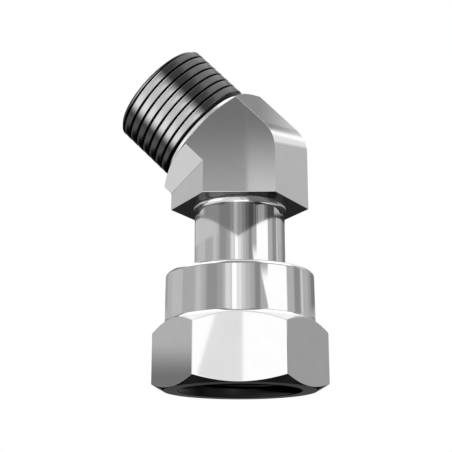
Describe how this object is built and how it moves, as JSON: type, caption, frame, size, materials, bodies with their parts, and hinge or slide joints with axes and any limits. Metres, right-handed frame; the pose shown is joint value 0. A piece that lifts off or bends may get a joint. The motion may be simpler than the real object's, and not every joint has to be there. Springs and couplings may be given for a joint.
{
  "type": "forty-five degree elbow fitting",
  "caption": "Compact hydraulic adaptor elbow: mitred hexagon body with a parallel male thread and, at 45 degrees to it, a wired swivel nut with a coned nose inside.",
  "frame": {"origin": "centre of the swivel nut's open face", "axes": "+Z runs from the nut's open face up the tail's axis; the male end leans at 45 degrees towards -X, in the XZ plane; +Y completes the right-handed frame"},
  "size_m": [0.0304, 0.022, 0.0513],
  "materials": {
    "body_steel": "bright zinc plate over machined steel, satin",
    "tail_steel": "bright zinc plate over turned steel, near mirror",
    "braze_metal": "filler metal under the zinc plate, smooth",
    "seal_rubber": "black nitrile rubber, matt",
    "nut_steel": "bright zinc plate over drawn and turned steel, near mirror",
    "wire_steel": "bare drawn wire"
  },
  "bodies": {
    "fitting": {"elbow_body": "body_steel", "swivel_tail": "tail_steel", "braze_ring": "braze_metal", "nose_ring": "seal_rubber"},
    "nut": {"swivel_nut": "nut_steel", "retaining_wire": "wire_steel"}
  },
  "joints": [
    {"name": "nut_swivel", "type": "hinge", "parent": "fitting", "child": "nut", "pos_m": [0, 0, 0], "axis": [0, 0, 1], "continuous": true}
  ]
}
